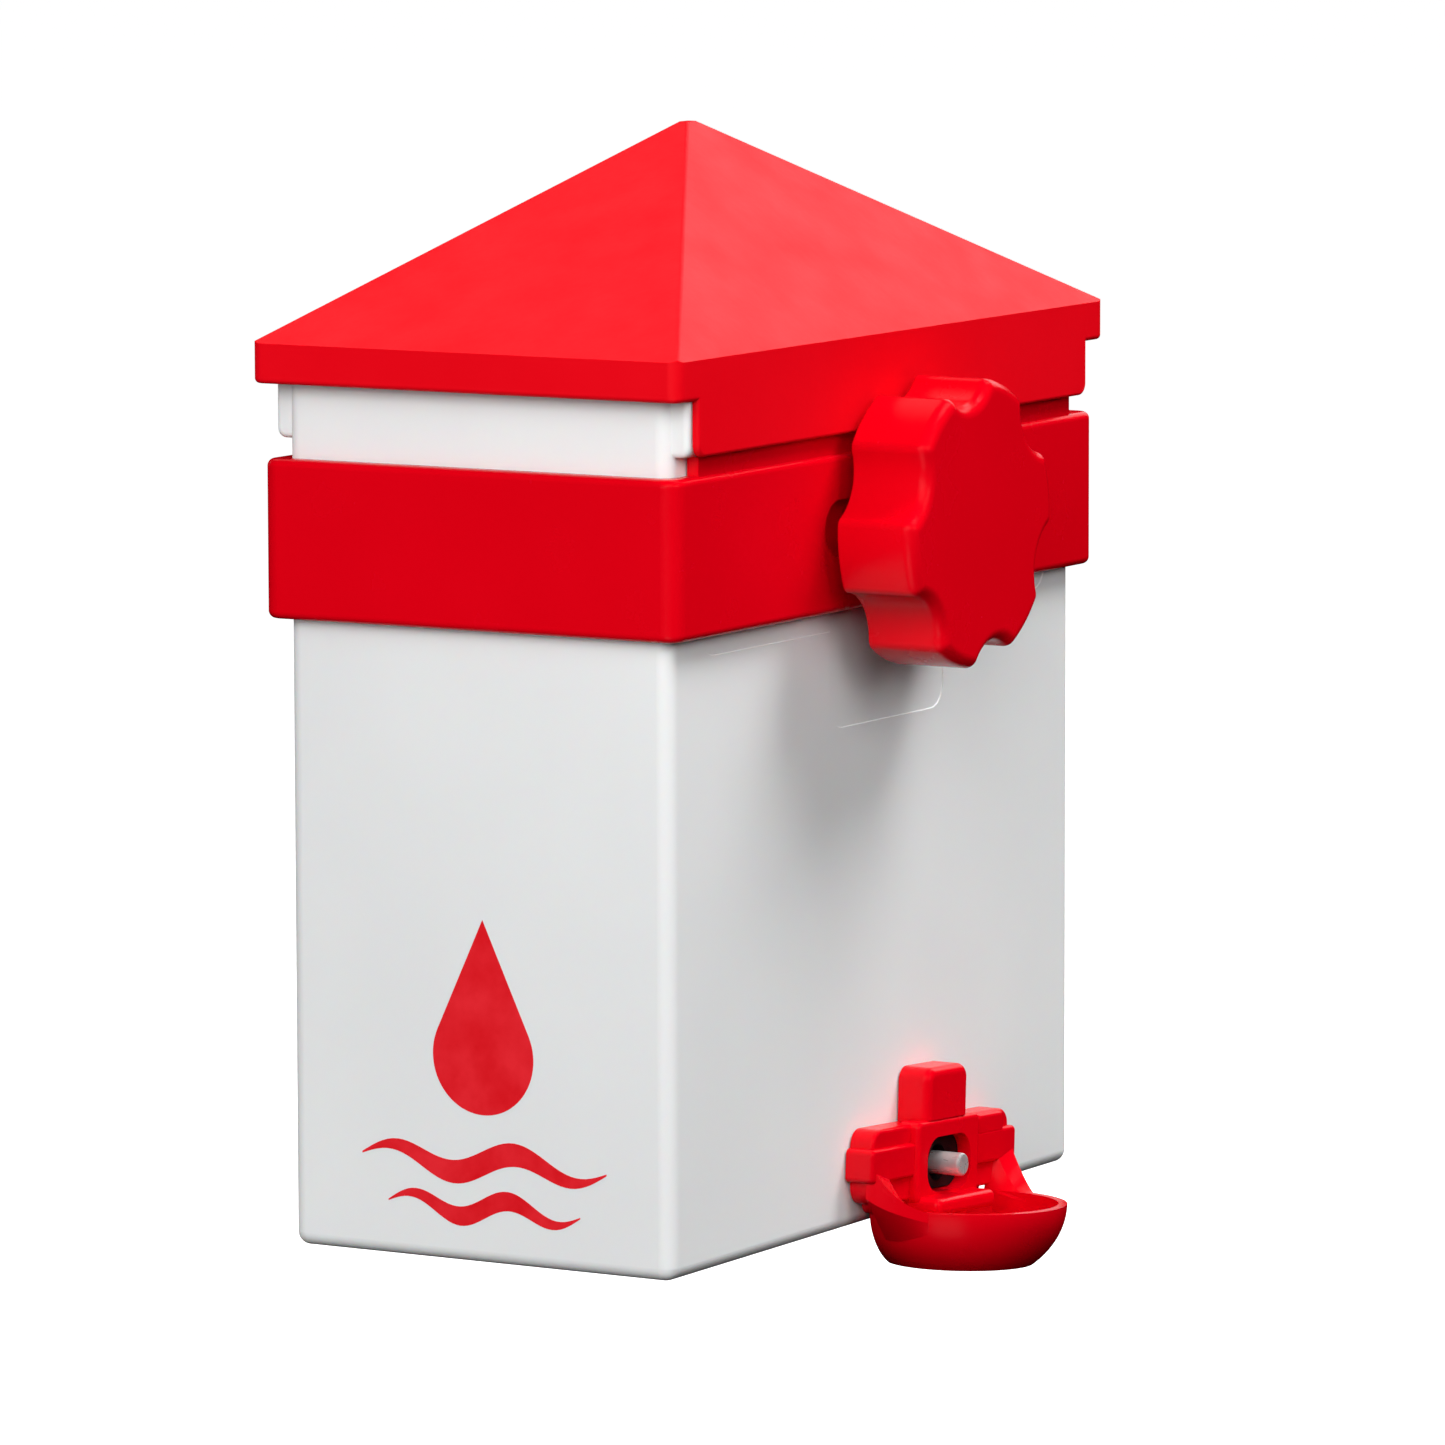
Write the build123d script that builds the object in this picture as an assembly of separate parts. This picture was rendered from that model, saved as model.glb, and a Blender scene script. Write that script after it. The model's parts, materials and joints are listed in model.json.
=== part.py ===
"""Cage-mounted poultry waterer: a lidded water tank in a clamp ring, with a nipple and drip cup.

Millimetres, +Z up. The origin is the centre of the tank's flat underside, and the front, where the
clamp knob and the drip cup are, faces -Y. Each piece is written to its own STEP file in parts/.
"""
from math import cos, radians, sin
import os

from build123d import *

# ---- driving dimensions ---------------------------------------------------------------------
TANK_X = 162.5              # tank width, left to right
TANK_Y = 87.0               # tank depth, front to back
TANK_H = 176.0              # height of the tank's rim
TANK_WALL = 2.0
TANK_FLOOR = 2.5
TANK_CORNER_R = 3.0         # upright corners
TANK_FOOT_R = 2.6           # edge round the underside
SHOULDER_Z = 160.0          # underside of the shoulder that hangs on the clamp ring
SHOULDER_OUT = 3.4          # how far the shoulder stands out from the broad faces
SHOULDER_X = 159.5

LID_OVERHANG = 5.1          # lid beyond the tank, on every side
LID_CORNER_R = 2.6          # upright corners of the skirt
LID_WALL = 1.4
ROOF_DROP = 2.2             # thickness of the roof, measured upright
SKIRT_Z = 171.1             # lower edge of the short skirt
EAVE_Z = 179.0
APEX_Z = 220.0              # where the four roof planes would meet
ROOF_TIP = 0.022            # size of the flat tip, as a share of the eave
FLAP_Z = 160.2              # lower edge of the long front flap
FLAP_X = 157.0

BAND_OUT = 3.7              # clamp ring's outer face, beyond the tank
BAND_WALL = 1.6
BAND_GAP = 0.4              # clearance round the tank
BAND_LOW = 124.8
BAND_HIGH = 156.3
BAND_LIP_OUT = 2.9          # face of the lip that the tank's shoulder hangs on
BAND_LIP_FRONT_X = 150.0
BAND_LIP_BACK_X = 120.0

CLAMP_Z = 141.5             # height of the clamp bolt
SLOT_LENGTH = 54.8
SLOT_HEIGHT = 11.4
KNOB_R = 28.7
KNOB_VALLEY_R = 24.4
KNOB_LOBES = 6
KNOB_TURN = 10.0            # angle of the first lobe, degrees above +X
KNOB_BACK = 7.0             # knob's back face, beyond the tank
KNOB_THICK = 17.4
KNOB_EDGE_R = 2.6           # round between the knob's rim and its face
BOLT_HEAD_X = 62.0          # flat head that fills the slot from behind
BOLT_HEAD_Z = 20.0
THREAD_R = 5.0
THREAD_PITCH = 3.0

CUP_X = 16.2                # middle of the drip cup and its nipple
CUP_ROLL = 3.2              # the drinker is screwed in a little clockwise of level, degrees
CUP_HALF_X = 22.5           # bowl at its rim, to either side of its middle
CUP_HALF_Y = 21.0
CUP_OUT = 10.5              # the bowl's middle, beyond the tank
CUP_RIM_Z = 2.3
CUP_FLOOR_Z = -9.9
CUP_CURVE = 17.0            # upright half-axis of the bowl's rounded outside
CUP_WALL = 1.8
PIN_Z = 9.7                 # height of the nipple's axis
PIN_R = 2.35
PIN_OUT = 10.8              # tip of the trigger pin, beyond the tank
BALL_R = 2.6                # ball end of the pin, in the valve
BALL_OUT = -2.5             # its centre, inside the tank's wall
NIPPLE_R = 4.9              # threaded spigot through the tank's wall
CHAMBER_R = 3.8             # valve chamber inside the spigot
SPIGOT_DEPTH = 14.2
RING_NUT_R = 6.6
GASKET_R = 5.9
GASKET_THICK = 1.2
HOOD_X = 25.4
HOOD_LOW = 2.5
HOOD_HIGH = 19.0
HOOD_BACK = 3.0
HOOD_OUT = 7.4
OPENING_X = 17.8
OPENING_Z = 11.2
PLATE_BACK = 0.3
WING_OUT = 6.5

FRONT = -TANK_Y / 2         # y of the tank's front face


# ---- helpers --------------------------------------------------------------------------------
def block(x0, x1, y0, y1, z0, z1):
    """A plain box between two corners."""
    size = Box(x1 - x0, y1 - y0, z1 - z0)
    return Pos((x0 + x1) / 2, (y0 + y1) / 2, (z0 + z1) / 2) * size


def prism(half_x, half_y, corner_r, z0, z1):
    """An upright prism of rounded-rectangle section, centred on the origin."""
    section = RectangleRounded(2 * half_x, 2 * half_y, corner_r)
    return extrude(Pos(0, 0, z0) * section, z1 - z0)


def facing(out, x=0.0, z=0.0):
    """A plane parallel to the front face, OUT beyond it, whose normal points forward."""
    return Plane(origin=(x, FRONT - out, z), x_dir=(1, 0, 0), z_dir=(0, -1, 0))


def rod(radius, out0, out1, x=0.0, z=0.0):
    """A round rod square to the front face, from OUT0 to OUT1 beyond it."""
    return extrude(facing(out0, x, z) * Circle(radius), out1 - out0)


def bar(width, height, corner_r, out0, out1, x=0.0, z=0.0):
    """A bar of rounded-rectangle section square to the front face."""
    section = RectangleRounded(width, height, corner_r)
    return extrude(facing(out0, x, z) * section, out1 - out0)


def soft_bar(width, height, corner_r, out0, out1, x, z, edge_r):
    """A bar whose front face has a rounded outline edge."""
    plain = bar(width, height, corner_r, out0, out1, x, z)
    return fillet(plain.faces().sort_by(Axis.Y)[0].edges(), edge_r)


def edges_at_z(solid, z, tolerance=0.01):
    """The edges that lie in the level plane at height Z."""
    return solid.edges().filter_by_position(Axis.Z, z - tolerance, z + tolerance)


# ---- tank -----------------------------------------------------------------------------------
def make_tank():
    body = block(-TANK_X / 2, TANK_X / 2, -TANK_Y / 2, TANK_Y / 2, 0, TANK_H)
    body = fillet(body.edges().filter_by(Axis.Z), TANK_CORNER_R)
    body = fillet(edges_at_z(body, 0), TANK_FOOT_R)
    for side in (-1, 1):
        inner = side * (TANK_Y / 2 - TANK_WALL)
        outer = side * (TANK_Y / 2 + SHOULDER_OUT)
        shoulder = block(-SHOULDER_X / 2, SHOULDER_X / 2, min(inner, outer), max(inner, outer),
                         SHOULDER_Z, TANK_H)
        outer_face = shoulder.faces().sort_by(Axis.Y)[-1 if side > 0 else 0]
        lower_edge = outer_face.edges().sort_by(Axis.Z)[0]
        shoulder = fillet(lower_edge, 1.9)
        outer_face = shoulder.faces().sort_by(Axis.Y)[-1 if side > 0 else 0]
        shoulder = fillet(outer_face.edges().filter_by(Axis.Z), 1.2)
        body += shoulder
    cavity = prism(TANK_X / 2 - TANK_WALL, TANK_Y / 2 - TANK_WALL, 1.5, TANK_FLOOR, TANK_H + 1)
    cavity = fillet(edges_at_z(cavity, TANK_FLOOR), 0.5)
    mouth = prism(SHOULDER_X / 2 - TANK_WALL, TANK_Y / 2 + SHOULDER_OUT - TANK_WALL, 1.2,
                  SHOULDER_Z + TANK_WALL, TANK_H + 1)
    body = body - cavity - mouth

    # Shallow relief that the clamp ring and the bolt's flat head sit in.
    relief_depth = 0.2
    wide = Pos(0, 139.5) * RectangleRounded(140, 38, 6)
    tongue = Pos(4, 115) * RectangleRounded(46, 28, 5)
    relief = extrude(facing(0) * (wide + tongue), -relief_depth, taper=35)
    body = body - relief
    return body - rod(NIPPLE_R + 0.1, -TANK_WALL - 1, 1, CUP_X, PIN_Z)


# ---- lid ------------------------------------------------------------------------------------
def roof_solid(base_z, apex_z, tip):
    """A hipped roof whose planes would meet at APEX_Z, cut off just short of the point."""
    share = (apex_z - base_z) / (APEX_Z - EAVE_Z)
    half_x = (TANK_X / 2 + LID_OVERHANG) * share
    half_y = (TANK_Y / 2 + LID_OVERHANG) * share
    base = Pos(0, 0, base_z) * Rectangle(2 * half_x, 2 * half_y)
    top_z = apex_z - (apex_z - base_z) * tip
    top = Pos(0, 0, top_z) * Rectangle(2 * half_x * tip, 2 * half_y * tip)
    return loft([base, top])


def make_lid():
    half_x = TANK_X / 2 + LID_OVERHANG
    half_y = TANK_Y / 2 + LID_OVERHANG
    outside = block(-half_x, half_x, -half_y, half_y, SKIRT_Z, EAVE_Z)
    outside += roof_solid(EAVE_Z, APEX_Z, ROOF_TIP)
    hips = [edge for edge in outside.edges() if edge.length > 60 and abs(edge.tangent_at(0.5).Z) > 0.1]
    outside = fillet(hips, 1.2)
    outside = fillet(outside.edges().filter_by(Axis.Z), LID_CORNER_R)

    flap = facing(LID_OVERHANG) * Pos(0, (FLAP_Z + EAVE_Z) / 2 - 2) * RectangleRounded(
        FLAP_X, EAVE_Z - FLAP_Z - 4, 2.5)
    flap = extrude(flap, -LID_WALL)
    flap_front = flap.faces().sort_by(Axis.Y)[0]
    flap = fillet(flap_front.edges(), 0.7)

    hollow = block(-half_x + LID_WALL, half_x - LID_WALL, -half_y + LID_WALL, half_y - LID_WALL,
                   SKIRT_Z - 1, EAVE_Z + 5)
    under_roof = roof_solid(SKIRT_Z - 1, APEX_Z - ROOF_DROP, ROOF_TIP)
    inside = hollow & under_roof
    inside += roof_solid(EAVE_Z, APEX_Z - ROOF_DROP, ROOF_TIP)

    # Locating ring that drops into the tank's mouth, and ribs that rest on its rim.
    ring_x = SHOULDER_X / 2 - TANK_WALL - 0.6
    ring_y = TANK_Y / 2 + SHOULDER_OUT - TANK_WALL - 0.6
    ring_low = TANK_H - 3.5
    ring = prism(ring_x, ring_y, 3.0, ring_low, EAVE_Z + 12)
    ring -= prism(ring_x - 1.2, ring_y - 1.2, 1.8, ring_low - 1, EAVE_Z + 13)
    ribs = Part()
    rib_half = 0.8
    for x in (-55, 0, 55):
        ribs += block(x - rib_half, x + rib_half, -half_y + 0.5, -ring_y + 0.5, TANK_H, EAVE_Z + 5)
        ribs += block(x - rib_half, x + rib_half, ring_y - 0.5, half_y - 0.5, TANK_H, EAVE_Z + 5)
    for y in (-22, 22):
        ribs += block(-half_x + 0.5, -ring_x + 0.5, y - rib_half, y + rib_half, TANK_H, EAVE_Z + 5)
        ribs += block(ring_x - 0.5, half_x - 0.5, y - rib_half, y + rib_half, TANK_H, EAVE_Z + 5)
    framing = (ring + ribs) & roof_solid(SKIRT_Z - 2, APEX_Z - 0.6, ROOF_TIP)
    lid = outside - inside
    outer_low = [edge for edge in edges_at_z(lid, SKIRT_Z)
                 if abs(edge.center().X) > half_x - 0.1 or abs(edge.center().Y) > half_y - 0.1]
    lid = fillet(outer_low, 1.0)
    return lid + flap + framing


# ---- clamp ring -----------------------------------------------------------------------------
def make_clamp_ring():
    half_x = TANK_X / 2
    half_y = TANK_Y / 2
    ring = prism(half_x + BAND_OUT, half_y + BAND_OUT, 3.6, BAND_LOW, BAND_HIGH)
    ring = fillet(edges_at_z(ring, BAND_LOW) + edges_at_z(ring, BAND_HIGH), 1.5)
    inner = BAND_OUT - BAND_WALL
    ring -= prism(half_x + BAND_GAP, half_y + BAND_GAP, 3.0, BAND_LOW - 1, BAND_HIGH + 1)
    ring -= prism(half_x + inner, half_y + inner, 3.0, BAND_LOW + BAND_WALL, BAND_HIGH - BAND_WALL)
    lip_in = half_y + BAND_GAP
    lip_out = half_y + BAND_LIP_OUT
    front_lip = block(-BAND_LIP_FRONT_X / 2, BAND_LIP_FRONT_X / 2, -lip_out, -lip_in,
                      BAND_HIGH - BAND_WALL, SHOULDER_Z)
    back_lip = block(-BAND_LIP_BACK_X / 2, BAND_LIP_BACK_X / 2, lip_in, lip_out,
                     BAND_HIGH - BAND_WALL, SHOULDER_Z)
    ring = ring + front_lip + back_lip
    slot = facing(0.2, 0, CLAMP_Z) * SlotOverall(SLOT_LENGTH, SLOT_HEIGHT)
    return ring - extrude(slot, BAND_OUT + 1)


# ---- clamp bolt, washer and knob ------------------------------------------------------------
def make_clamp_bolt():
    head = bar(BOLT_HEAD_X, BOLT_HEAD_Z, 3, 0.3, 1.8, 0, CLAMP_Z)
    neck = extrude(facing(1.8, 0, CLAMP_Z) * SlotOverall(14, SLOT_HEIGHT - 0.4), 1.7)
    shank = rod(THREAD_R - 1.0, 3.5, 17.6, 0, CLAMP_Z)
    bolt = head + neck + shank
    turns = 4
    for turn in range(turns):
        start = 4.6 + turn * THREAD_PITCH
        crest = revolve(
            Plane(origin=(0, FRONT - start, CLAMP_Z), x_dir=(1, 0, 0), z_dir=(0, 0, 1))
            * make_face(Polyline((0, 0), (THREAD_R - 1.1, 0), (THREAD_R, -0.9), (THREAD_R, -1.5),
                                 (THREAD_R - 1.1, -2.4), (0, -2.4), close=True)),
            Axis((0, 0, CLAMP_Z), (0, 1, 0)))
        bolt += crest
    return bolt


def make_clamp_washer():
    ring = rod(14.0, 5.2, 6.7, 0, CLAMP_Z) - rod(THREAD_R + 0.35, 5.0, 7.0, 0, CLAMP_Z)
    front = ring.faces().sort_by(Axis.Y)
    return fillet(front[-1].edges() + front[0].edges(), 0.3)


def make_clamp_knob():
    scallop_r = 10.0
    outline = Circle(KNOB_R)
    for lobe in range(KNOB_LOBES):
        angle = radians(KNOB_TURN + (lobe + 0.5) * 360 / KNOB_LOBES)
        reach = KNOB_VALLEY_R + scallop_r
        outline -= Pos(reach * cos(angle), reach * sin(angle)) * Circle(scallop_r)
    outline = fillet(outline.vertices(), 2.2)
    knob = extrude(facing(KNOB_BACK, 0, CLAMP_Z) * outline, KNOB_THICK)
    faces = knob.faces().sort_by(Axis.Y)
    knob = fillet(faces[0].edges(), KNOB_EDGE_R)
    knob = fillet(knob.faces().sort_by(Axis.Y)[-1].edges(), 0.6)
    knob -= rod(THREAD_R + 0.3, KNOB_BACK - 1, KNOB_BACK + KNOB_THICK - 3, 0, CLAMP_Z)
    cored = rod(20.0, KNOB_BACK - 1, KNOB_BACK + 9, 0, CLAMP_Z)
    cored -= rod(9.0, KNOB_BACK - 2, KNOB_BACK + 10, 0, CLAMP_Z)
    ribs = Part()
    for rib in range(6):
        angle = rib * 60 + KNOB_TURN
        ribs += Pos(0, 0, CLAMP_Z) * Rot(0, angle, 0) * block(0, 30, FRONT - 20, FRONT, -0.9, 0.9)
    return knob - (cored - ribs)


# ---- drinker: mount plate, cup, nipple and its valve ------------------------------------------
def rolled(piece):
    """PIECE turned about the nipple's axis, as far as the drinker is screwed round."""
    axis_at = Pos(CUP_X, 0, PIN_Z)
    return axis_at * Rot(0, CUP_ROLL, 0) * Pos(-CUP_X, 0, -PIN_Z) * piece


def make_mount_plate():
    step_out = WING_OUT - 1.0
    wings = soft_bar(59.6, 6.8, 1.2, PLATE_BACK, WING_OUT, CUP_X, 11.4, 0.8)
    upper = soft_bar(56.4, 8.2, 3.4, PLATE_BACK, step_out, CUP_X, 14.4, 0.8)
    lower = soft_bar(55.6, 8.4, 3.9, PLATE_BACK, step_out, CUP_X, 7.4, 0.8)
    tab = soft_bar(16.8, 17.4, 2.8, PLATE_BACK, WING_OUT + 0.8, CUP_X - 0.6, 20.8, 1.8)
    pad = soft_bar(11.0, 4.4, 1.2, PLATE_BACK, WING_OUT, CUP_X + 19.0, 16.0, 0.8)
    foot = bar(46.0, 6.4, 2.6, PLATE_BACK, PLATE_BACK + CUP_WALL, CUP_X, 4.2)
    plate = wings + upper + lower + tab + pad + foot
    seat = bar(HOOD_X, HOOD_HIGH - HOOD_LOW, 1.5, HOOD_BACK, HOOD_OUT + 2,
               CUP_X, (HOOD_LOW + HOOD_HIGH) / 2)
    plate -= seat
    plate -= rod(NIPPLE_R + 0.1, -1, HOOD_OUT, CUP_X, PIN_Z)
    return rolled(plate - rod(GASKET_R + 0.1, 0, GASKET_THICK, CUP_X, PIN_Z))


def bowl_form(inset, back):
    """The bowl's form: the lower half of an ellipsoid, with a level floor."""
    ball = scale(Sphere(1.0), by=(CUP_HALF_X - inset, CUP_HALF_Y - inset, CUP_CURVE - inset))
    kept = block(-40, 40, -60, CUP_OUT - back, CUP_FLOOR_Z + inset - CUP_RIM_Z, 0)
    return Pos(CUP_X, FRONT - CUP_OUT, CUP_RIM_Z) * (ball & kept)


def cheek(side):
    """The hollow-curved web that carries the bowl's rim back and up to one wing (SIDE -1 or +1)."""
    at_wing = ((19.0, -4.0), (20.1, -4.0), (28.8, 5.0), (28.8, 13.8), (23.0, 13.4), (20.5, 3.0))
    half_way = ((19.3, -4.0), (20.8, -4.0), (27.0, 2.6), (27.0, 6.6), (22.4, 4.6), (20.3, 1.5))
    at_rim = ((20.0, -2.6), (21.0, -2.6), (22.0, 0.4), (22.0, 2.3), (20.2, 2.3), (20.1, 0.5))
    sections = []
    for out, corners in ((4.5, at_wing), (9.0, half_way), (15.0, at_rim)):
        outline = Polyline(*[(side * x, z) for x, z in corners], close=True)
        sections.append(facing(out, CUP_X) * make_face(outline))
    return loft(sections)


def make_drip_cup(plate):
    bowl = bowl_form(0, PLATE_BACK) - bowl_form(CUP_WALL, PLATE_BACK + CUP_WALL)
    hood = bar(HOOD_X, HOOD_HIGH - HOOD_LOW, 1.5, HOOD_BACK, HOOD_OUT,
               CUP_X, (HOOD_LOW + HOOD_HIGH) / 2)
    hood = fillet(hood.faces().sort_by(Axis.Y)[0].edges(), 1.0)
    shelf = bar(24.0, 3.6, 1.6, GASKET_THICK + 0.2, 12.0, CUP_X, 2.0)
    shelf = fillet(shelf.faces().sort_by(Axis.Y)[0].edges(), 1.4)
    cup = bowl + cheek(-1) + cheek(1) + hood + shelf
    cup -= bar(OPENING_X, OPENING_Z, 4.6, HOOD_BACK - 1, HOOD_OUT + 1, CUP_X, PIN_Z + 0.2)
    cup = rolled(cup) - plate
    return cup.solids().sort_by(SortBy.VOLUME)[-1]


def make_nipple_body():
    flange = bar(OPENING_X - 0.6, OPENING_Z - 0.6, 4.3, HOOD_BACK, HOOD_BACK + 1.6,
                 CUP_X, PIN_Z + 0.2)
    spigot = rod(NIPPLE_R, -SPIGOT_DEPTH, HOOD_BACK, CUP_X, PIN_Z)
    body = rolled(flange) + spigot
    body -= rod(CHAMBER_R, -SPIGOT_DEPTH - 1, 0.6, CUP_X, PIN_Z)
    body -= rod(2.2, 0, 3, CUP_X, PIN_Z)
    return body - rod(3.7, 1.6, HOOD_BACK + 3, CUP_X, PIN_Z)


def make_wall_gasket():
    return rod(GASKET_R, 0, GASKET_THICK, CUP_X, PIN_Z) - rod(NIPPLE_R, -1, 3, CUP_X, PIN_Z)


def make_ring_nut():
    nut = rod(RING_NUT_R, -TANK_WALL - 4.0, -TANK_WALL, CUP_X, PIN_Z)
    nut -= rod(NIPPLE_R, -20, 0, CUP_X, PIN_Z)
    for notch in range(6):
        angle = radians(60 * notch + 30)
        x = CUP_X + RING_NUT_R * cos(angle)
        z = PIN_Z + RING_NUT_R * sin(angle)
        nut -= rod(0.9, -TANK_WALL - 5.0, -TANK_WALL - 2.0, x, z)
    return nut


def make_seat_seal():
    return rod(CHAMBER_R, -0.6, 0.6, CUP_X, PIN_Z) - rod(2.0, -1, 1, CUP_X, PIN_Z)


def make_trigger_pin():
    ball = Pos(CUP_X, FRONT - BALL_OUT, PIN_Z) * Sphere(BALL_R)
    stem = rod(1.4, BALL_OUT, 3.4, CUP_X, PIN_Z)
    tip = rod(PIN_R, 3.2, PIN_OUT, CUP_X, PIN_Z)
    tip = fillet(tip.faces().sort_by(Axis.Y)[0].edges(), 0.6)
    tip = fillet(tip.faces().sort_by(Axis.Y)[-1].edges(), 0.3)
    return ball + stem + tip


def make_pin_washer():
    return rod(2.6, BALL_OUT - BALL_R - 0.8, BALL_OUT - BALL_R - 0.4, CUP_X, PIN_Z)


def make_spring_follower():
    cap = rod(CHAMBER_R - 0.3, -8.0, -6.5, CUP_X, PIN_Z)
    return cap + rod(1.6, -9.2, -8.0, CUP_X, PIN_Z)


def make_return_spring():
    coil_r = 2.5
    wire_r = 0.3
    length = 4.4
    helix = Helix(pitch=length / 5, height=length, radius=coil_r)
    wire = Plane(origin=helix @ 0, z_dir=helix % 0) * Circle(wire_r)
    coil = sweep(wire, path=helix)
    return Pos(CUP_X, FRONT + 8.0 + wire_r, PIN_Z) * Rot(-90, 0, 0) * coil


def make_spring_retainer():
    cap = rod(CHAMBER_R, -SPIGOT_DEPTH, -13.0, CUP_X, PIN_Z)
    for hole in range(4):
        angle = radians(90 * hole + 45)
        cap -= rod(0.8, -20, -10, CUP_X + 2.2 * cos(angle), PIN_Z + 2.2 * sin(angle))
    return cap


def main():
    os.makedirs("parts", exist_ok=True)
    plate = make_mount_plate()
    pieces = {
        "tank": make_tank(),
        "lid": make_lid(),
        "clamp_ring": make_clamp_ring(),
        "clamp_bolt": make_clamp_bolt(),
        "clamp_washer": make_clamp_washer(),
        "clamp_knob": make_clamp_knob(),
        "mount_plate": plate,
        "drip_cup": make_drip_cup(plate),
        "nipple_body": make_nipple_body(),
        "wall_gasket": make_wall_gasket(),
        "ring_nut": make_ring_nut(),
        "seat_seal": make_seat_seal(),
        "trigger_pin": make_trigger_pin(),
        "pin_washer": make_pin_washer(),
        "spring_follower": make_spring_follower(),
        "return_spring": make_return_spring(),
        "spring_retainer": make_spring_retainer(),
    }
    for name, piece in pieces.items():
        export_step(piece, f"parts/{name}.step")


main()
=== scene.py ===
"""Looks for the cage-mounted poultry waterer.

Finishes for the CAD pieces, the valve's spring as a wound coil, the printed mark, and the studio.
Metres and degrees; azimuth 0 looks along +Y and grows towards +X.
"""
import json
from math import acos, cos, pi, radians, sin

import bpy
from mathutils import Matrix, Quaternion, Vector


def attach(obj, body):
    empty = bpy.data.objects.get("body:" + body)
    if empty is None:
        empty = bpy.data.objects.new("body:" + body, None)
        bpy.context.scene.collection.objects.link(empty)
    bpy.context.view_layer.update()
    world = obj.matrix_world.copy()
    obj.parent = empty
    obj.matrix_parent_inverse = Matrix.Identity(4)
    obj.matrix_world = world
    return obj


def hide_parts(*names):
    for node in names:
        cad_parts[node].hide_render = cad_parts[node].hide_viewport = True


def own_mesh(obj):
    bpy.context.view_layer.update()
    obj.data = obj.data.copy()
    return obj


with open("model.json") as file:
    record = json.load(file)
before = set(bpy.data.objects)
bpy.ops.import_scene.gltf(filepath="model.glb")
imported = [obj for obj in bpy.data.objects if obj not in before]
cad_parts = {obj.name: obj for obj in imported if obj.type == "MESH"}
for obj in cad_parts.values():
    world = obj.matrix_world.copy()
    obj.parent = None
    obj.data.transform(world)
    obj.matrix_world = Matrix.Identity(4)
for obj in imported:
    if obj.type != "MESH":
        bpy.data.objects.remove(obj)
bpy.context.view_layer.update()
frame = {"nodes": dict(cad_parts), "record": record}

# ---- camera ---------------------------------------------------------------------------------
CAMERA_AZIMUTH = radians(-59.67)
CAMERA_ELEVATION = radians(7.07)
CAMERA_ROLL = radians(-0.14)
CAMERA_DISTANCE = 1.9167
CAMERA_TARGET = Vector((0.0045, -0.0051, 0.0977))
CAMERA_LENS = 236.7


def make_camera():
    back = Vector((sin(CAMERA_AZIMUTH) * cos(CAMERA_ELEVATION),
                   -cos(CAMERA_AZIMUTH) * cos(CAMERA_ELEVATION),
                   sin(CAMERA_ELEVATION)))
    data = bpy.data.cameras.new("camera")
    data.lens = CAMERA_LENS
    data.sensor_width = 36.0
    data.clip_end = 100.0
    camera = bpy.data.objects.new("camera", data)
    bpy.context.scene.collection.objects.link(camera)
    camera.location = CAMERA_TARGET + back * CAMERA_DISTANCE
    turn = back.to_track_quat("Z", "Y") @ Quaternion((0, 0, 1), CAMERA_ROLL)
    camera.rotation_mode = "QUATERNION"
    camera.rotation_quaternion = turn
    bpy.context.scene.camera = camera


make_camera()


# ---- material helpers -----------------------------------------------------------------------
NOISE_LOW = 0.3             # the part of a noise's range that spread() uses
NOISE_HIGH = 0.7
FIRST_STOP = 0.35           # where the two colours of colours() sit
SECOND_STOP = 0.65


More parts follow.
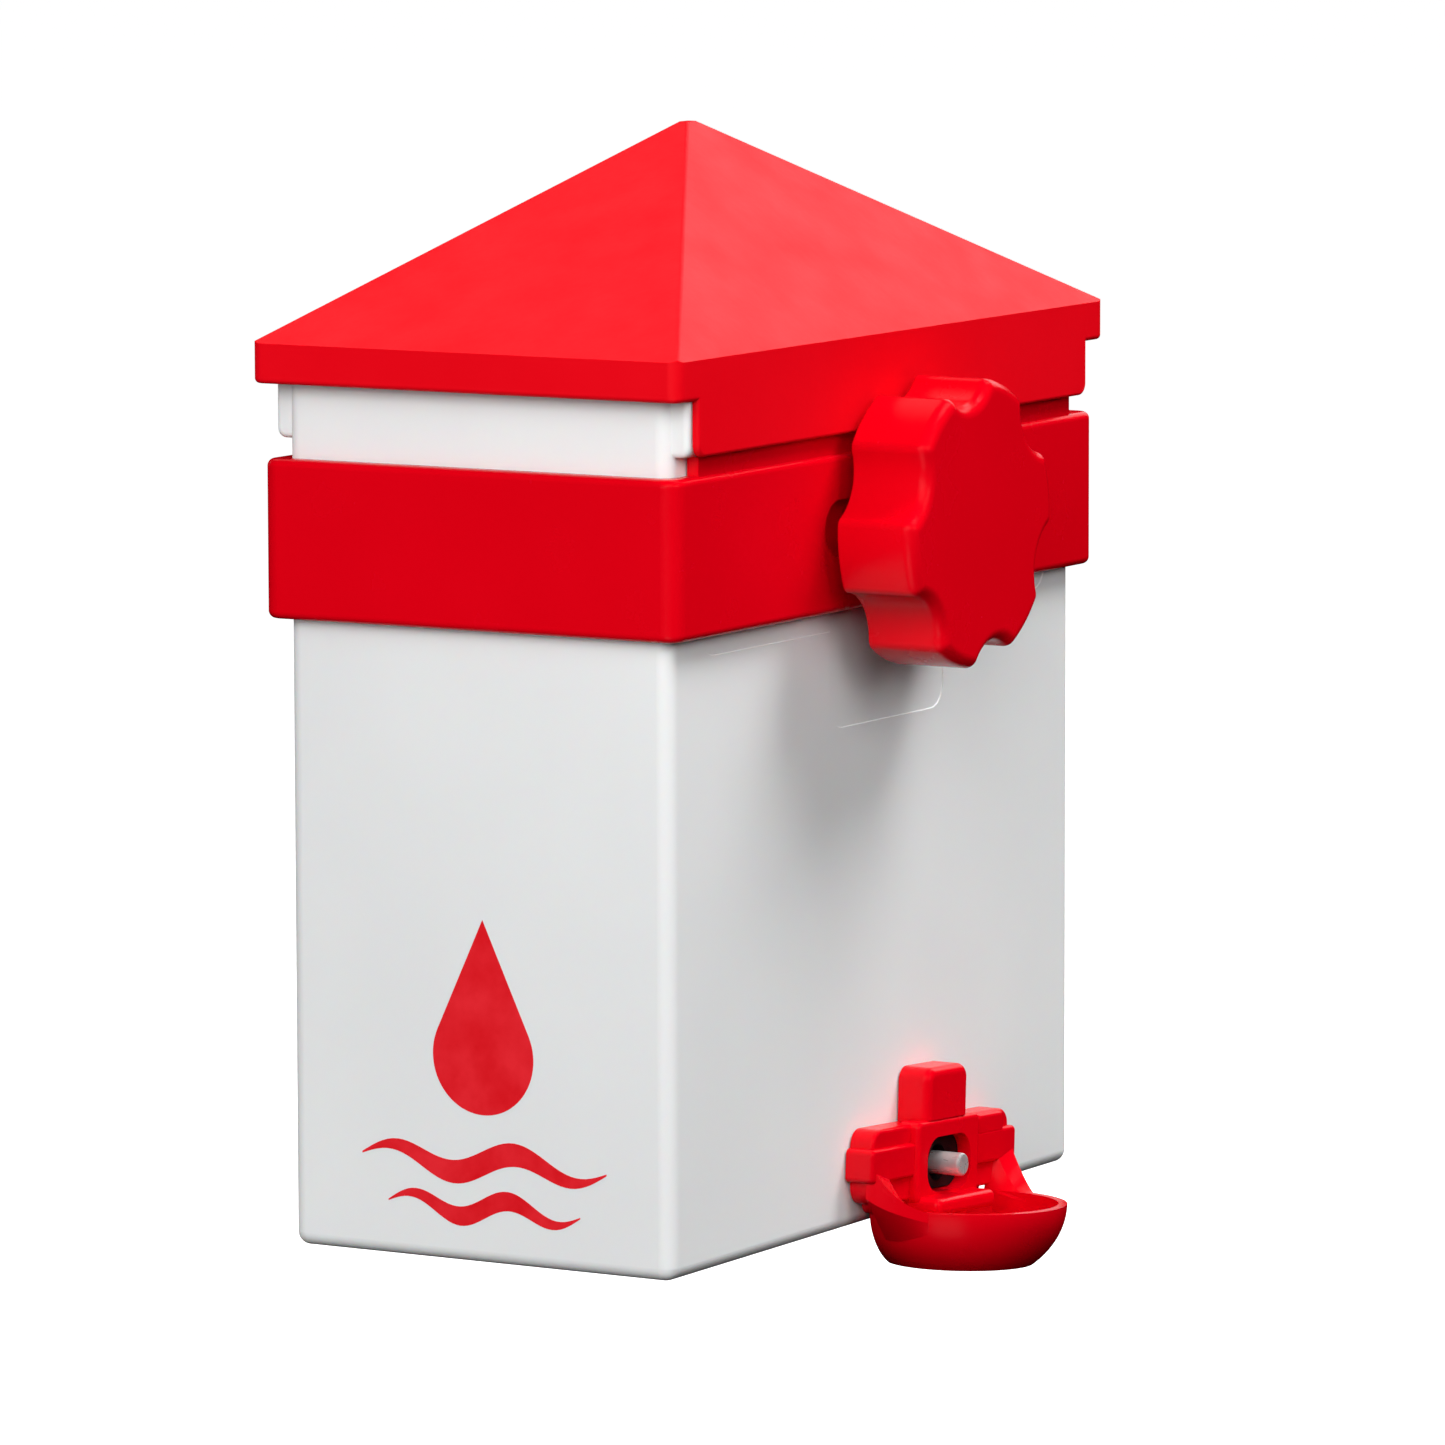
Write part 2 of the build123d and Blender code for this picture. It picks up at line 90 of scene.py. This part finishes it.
class Finish:
    """A node material under construction: a Principled shader and short ways to feed it."""

    def __init__(self, name):
        self.material = bpy.data.materials.new(name)
        self.material.use_nodes = True
        self.tree = self.material.node_tree
        self.shader = self.tree.nodes["Principled BSDF"]
        self.coords = self.tree.nodes.new("ShaderNodeTexCoord").outputs["Object"]

    def set(self, **values):
        for name, value in values.items():
            self.shader.inputs[name.replace("_", " ")].default_value = value

    def noise(self, scale, detail=4.0, roughness=0.55, stretch=None):
        node = self.tree.nodes.new("ShaderNodeTexNoise")
        node.inputs["Scale"].default_value = scale
        node.inputs["Detail"].default_value = detail
        node.inputs["Roughness"].default_value = roughness
        source = self.coords
        if stretch:
            mapping = self.tree.nodes.new("ShaderNodeMapping")
            mapping.inputs["Scale"].default_value = stretch
            self.tree.links.new(source, mapping.inputs["Vector"])
            source = mapping.outputs["Vector"]
        self.tree.links.new(source, node.inputs["Vector"])
        return node.outputs["Fac"]

    def spread(self, value, low, high):
        """VALUE, a noise, brought to run from LOW to HIGH."""
        node = self.tree.nodes.new("ShaderNodeMapRange")
        node.inputs["From Min"].default_value = NOISE_LOW
        node.inputs["From Max"].default_value = NOISE_HIGH
        node.inputs["To Min"].default_value = low
        node.inputs["To Max"].default_value = high
        self.tree.links.new(value, node.inputs["Value"])
        return node.outputs["Result"]

    def colours(self, value, first, second):
        """A colour that wanders between FIRST and SECOND with VALUE."""
        node = self.tree.nodes.new("ShaderNodeValToRGB")
        node.color_ramp.elements[0].position = FIRST_STOP
        node.color_ramp.elements[0].color = (*first, 1.0)
        node.color_ramp.elements[1].position = SECOND_STOP
        node.color_ramp.elements[1].color = (*second, 1.0)
        self.tree.links.new(value, node.inputs["Fac"])
        return node.outputs["Color"]

    def bump(self, value, distance, strength=1.0):
        """Relief from VALUE, laid over any relief already there."""
        node = self.tree.nodes.new("ShaderNodeBump")
        node.inputs["Distance"].default_value = distance
        node.inputs["Strength"].default_value = strength
        self.tree.links.new(value, node.inputs["Height"])
        previous = self.shader.inputs["Normal"]
        if previous.is_linked:
            self.tree.links.new(previous.links[0].from_socket, node.inputs["Normal"])
        self.tree.links.new(node.outputs["Normal"], self.shader.inputs["Normal"])

    def feed(self, socket, value):
        self.tree.links.new(value, self.shader.inputs[socket])


def tank_plastic():
    finish = Finish("tank_plastic")
    clouds = finish.noise(9.0, 3.0)
    finish.feed("Base Color", finish.colours(clouds, (0.80, 0.805, 0.81), (0.845, 0.85, 0.85)))
    finish.feed("Roughness", finish.spread(finish.noise(60.0), 0.42, 0.52))
    finish.set(Specular_IOR_Level=0.3, Subsurface_Weight=0.12, Subsurface_Scale=0.004)
    finish.bump(finish.noise(900.0, 2.0), 0.00002, 0.5)
    finish.bump(finish.noise(22.0, 2.0), 0.0004, 0.25)
    return finish.material


def red_plastic(name, deep, bright, rough, grain_scale, grain_depth):
    finish = Finish(name)
    finish.feed("Base Color", finish.colours(finish.noise(14.0, 3.0), deep, bright))
    finish.feed("Roughness", finish.spread(finish.noise(80.0), rough - 0.04, rough + 0.05))
    finish.set(Specular_IOR_Level=0.16)
    finish.bump(finish.noise(grain_scale, 3.0), grain_depth, 0.6)
    finish.bump(finish.noise(30.0, 2.0), 0.0003, 0.2)
    return finish.material


def steel():
    finish = Finish("steel")
    finish.set(Metallic=0.6)
    finish.feed("Base Color", finish.colours(finish.noise(400.0), (0.66, 0.66, 0.67), (0.82, 0.81, 0.80)))
    finish.feed("Roughness", finish.spread(finish.noise(700.0, 3.0, stretch=(1, 0.1, 1)), 0.24, 0.36))
    finish.bump(finish.noise(900.0, 2.0, stretch=(1, 0.15, 1)), 0.00002, 0.4)
    return finish.material


def rubber():
    finish = Finish("rubber")
    finish.feed("Base Color", finish.colours(finish.noise(300.0), (0.02, 0.02, 0.021), (0.04, 0.04, 0.04)))
    finish.feed("Roughness", finish.spread(finish.noise(500.0), 0.55, 0.75))
    finish.bump(finish.noise(900.0), 0.00004, 0.5)
    return finish.material


def black_plastic():
    finish = Finish("black_plastic")
    clouds = finish.noise(60.0)
    finish.feed("Base Color", finish.colours(clouds, (0.004, 0.004, 0.005), (0.009, 0.008, 0.009)))
    finish.feed("Roughness", finish.spread(finish.noise(300.0), 0.5, 0.65))
    finish.set(Specular_IOR_Level=0.2)
    finish.bump(finish.noise(600.0), 0.00003, 0.4)
    return finish.material


def printed_ink():
    """Red ink screened on the tank: a little uneven, and duller than the moulded red."""
    finish = Finish("printed_ink")
    speckle = finish.noise(120.0, 6.0)
    finish.feed("Base Color", finish.colours(speckle, (0.70, 0.006, 0.012), (0.80, 0.02, 0.03)))
    finish.feed("Roughness", finish.spread(finish.noise(300.0), 0.4, 0.55))
    finish.set(Specular_IOR_Level=0.25)
    finish.bump(finish.noise(700.0), 0.00002, 0.4)
    return finish.material


def valve_plastic():
    finish = Finish("valve_plastic")
    finish.feed("Base Color", finish.colours(finish.noise(200.0), (0.74, 0.73, 0.68), (0.82, 0.81, 0.77)))
    finish.feed("Roughness", finish.spread(finish.noise(400.0), 0.35, 0.5))
    finish.bump(finish.noise(800.0), 0.00003, 0.4)
    return finish.material


FINISHES = {
    "tank_plastic": tank_plastic(),
    "red_plastic": red_plastic("red_plastic", (0.68, 0.0, 0.006), (0.72, 0.0, 0.007),
                               rough=0.24, grain_scale=700.0, grain_depth=0.00002),
    "roof_plastic": red_plastic("roof_plastic", (0.75, 0.001, 0.007), (0.80, 0.002, 0.009),
                                rough=0.42, grain_scale=420.0, grain_depth=0.00005),
    "steel": steel(),
    "rubber": rubber(),
    "black_plastic": black_plastic(),
    "valve_plastic": valve_plastic(),
}


def dress_frame():
    slots = {part["node"]: part["material_slot"] for part in frame["record"]["subparts"]}
    for name, piece in frame["nodes"].items():
        piece.data.materials.clear()
        piece.data.materials.append(FINISHES[slots[name]])


dress_frame()


# ---- valve spring ---------------------------------------------------------------------------
SPRING_NEAR_END = Vector((0.0162, -0.0352, 0.0097))
SPRING_COIL_R = 0.0025
SPRING_WIRE_R = 0.0003
SPRING_TURNS = 5
SPRING_LENGTH = 0.0044
STEPS_A_TURN = 20


def wind_spring():
    """The valve's return spring: a coil of wire from the follower to the retainer."""
    curve = bpy.data.curves.new("valve_spring_path", "CURVE")
    curve.dimensions = "3D"
    curve.bevel_depth = SPRING_WIRE_R
    curve.bevel_resolution = 3
    steps = SPRING_TURNS * STEPS_A_TURN
    spline = curve.splines.new("POLY")
    spline.points.add(steps)
    for step in range(steps + 1):
        angle = 2 * pi * step / STEPS_A_TURN
        along = SPRING_LENGTH * step / steps
        at = SPRING_NEAR_END + Vector((SPRING_COIL_R * cos(angle), along, SPRING_COIL_R * sin(angle)))
        spline.points[step].co = (*at, 1.0)
    path = bpy.data.objects.new("valve_spring_path", curve)
    mesh = bpy.data.meshes.new_from_object(path)
    bpy.data.objects.remove(path)
    mesh.materials.clear()
    mesh.materials.append(FINISHES["steel"])
    mesh.shade_smooth()
    spring = bpy.data.objects.new("valve_spring", mesh)
    bpy.context.scene.collection.objects.link(spring)
    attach(spring, "tank")
    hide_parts("return_spring")
    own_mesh(spring)


wind_spring()


# ---- printed mark ---------------------------------------------------------------------------
TANK_SIDE_X = -0.08125
MARK_Y = -0.001             # middle of the drop's round part
MARK_Z = 0.041
DROP_R = 0.0115
DROP_TIP = 0.027            # its point, above that middle
INK_THICK = 0.00005         # how far the ink stands out from the side, and reaches into it
WAVES = (
    # name, width, height, thickness, how far below the drop's middle
    ("mark_wave_upper", 0.056, 0.0022, 0.0046, 0.021),
    ("mark_wave_lower", 0.044, 0.0019, 0.0038, 0.030),
)


def drop_outline(radius, tip, points=48):
    """A water drop, point up: (across, up) corners about the middle of its round part."""
    touch = acos(radius / tip)
    outline = [(0.0, tip)]
    for step in range(points + 1):
        angle = touch + (2 * pi - 2 * touch) * step / points
        outline.append((radius * sin(angle), radius * cos(angle)))
    return outline


def wave_outline(width, height, thick, points=48):
    """One ripple, WIDTH across, that thins out to both ends."""
    upper = []
    lower = []
    for step in range(points + 1):
        share = step / points
        across = width * (share - 0.5)
        middle = height * sin(4 * pi * share)
        half = thick * sin(pi * share) / 2 + thick * 0.04
        upper.append((across, middle + half))
        lower.append((across, middle - half))
    return upper + lower[::-1]


def print_mark(name, outline, middle_y, middle_z):
    """A filled shape of ink on the tank's left side."""
    count = len(outline)
    corners = []
    for x in (TANK_SIDE_X - INK_THICK, TANK_SIDE_X + INK_THICK):
        corners += [(x, middle_y - across, middle_z + up) for across, up in outline]
    faces = [tuple(range(count)), tuple(reversed(range(count, 2 * count)))]
    for corner in range(count):
        after = (corner + 1) % count
        faces.append((after, corner, corner + count, after + count))
    mesh = bpy.data.meshes.new(name)
    mesh.from_pydata(corners, [], faces)
    mesh.materials.append(INK)
    mark = bpy.data.objects.new(name, mesh)
    bpy.context.scene.collection.objects.link(mark)
    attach(mark, "tank")


INK = printed_ink()
print_mark("mark_drop", drop_outline(DROP_R, DROP_TIP), MARK_Y, MARK_Z)
for name, width, height, thick, below in WAVES:
    print_mark(name, wave_outline(width, height, thick), MARK_Y, MARK_Z - below)


# ---- studio ---------------------------------------------------------------------------------
FLOOR_Z = -0.30
FLOOR_HALF = 30.0
LIGHTS_AIM = Vector((0, 0, 0.1))


def make_floor():
    mesh = bpy.data.meshes.new("floor")
    signs = ((-1, -1), (1, -1), (1, 1), (-1, 1))
    corners = [(across * FLOOR_HALF, along * FLOOR_HALF, FLOOR_Z) for across, along in signs]
    mesh.from_pydata(corners, [], [(0, 1, 2, 3)])
    floor = bpy.data.objects.new("floor", mesh)
    bpy.context.scene.collection.objects.link(floor)
    finish = Finish("floor")
    finish.set(Base_Color=(0.9, 0.9, 0.9, 1.0), Roughness=0.9, Specular_IOR_Level=0.0,
               Emission_Color=(1.0, 1.0, 1.0, 1.0), Emission_Strength=1.0)
    mesh.materials.append(finish.material)
    floor.visible_glossy = False
    floor.visible_diffuse = False


def area_light(name, azimuth, elevation, distance, size, power, seen, lights):
    data = bpy.data.lights.new(name, "AREA")
    data.shape = "SQUARE"
    data.size = size
    data.energy = power
    light = bpy.data.objects.new(name, data)
    bpy.context.scene.collection.objects.link(light)
    direction = Vector((sin(azimuth) * cos(elevation), -cos(azimuth) * cos(elevation), sin(elevation)))
    light.location = LIGHTS_AIM + direction * distance
    light.rotation_mode = "QUATERNION"
    light.rotation_quaternion = direction.to_track_quat("Z", "Y")
    light.visible_glossy = seen
    light.visible_diffuse = lights
    light.visible_camera = False


def make_world():
    world = bpy.data.worlds.new("studio")
    bpy.context.scene.world = world
    world.use_nodes = True
    background = world.node_tree.nodes["Background"]
    background.inputs["Color"].default_value = (1.0, 1.0, 1.0, 1.0)
    background.inputs["Strength"].default_value = 0.55
    world.cycles_visibility.glossy = False
    world.cycles_visibility.diffuse = False


make_floor()
make_world()
LIGHTS = (
    # name, azimuth, elevation, distance, size, power, seen in reflections, lights surfaces
    ("left_low", -90, 19, 2.0, 1.2, 20.5, False, True),
    ("left_near", -62, 30, 1.2, 0.8, 7.4, False, True),
    ("front", -10, 25, 2.0, 1.0, 13.0, False, True),
    ("right_high", 38, 58, 2.0, 0.8, 38.0, False, True),
    ("under", -70, -30, 2.0, 1.2, 12.0, False, True),
    ("back", 168, 22, 2.0, 1.2, 15.0, False, True),
    ("roof_sheen", 93, 31, 3.0, 1.8, 17.0, True, True),
    ("knob_sheen", 146, 51, 2.0, 0.9, 1.8, True, False),
)
for name, azimuth, elevation, distance, size, power, seen, lights in LIGHTS:
    area_light(name, radians(azimuth), radians(elevation), distance, size, power, seen, lights)
bpy.context.scene.view_settings.view_transform = "Standard"
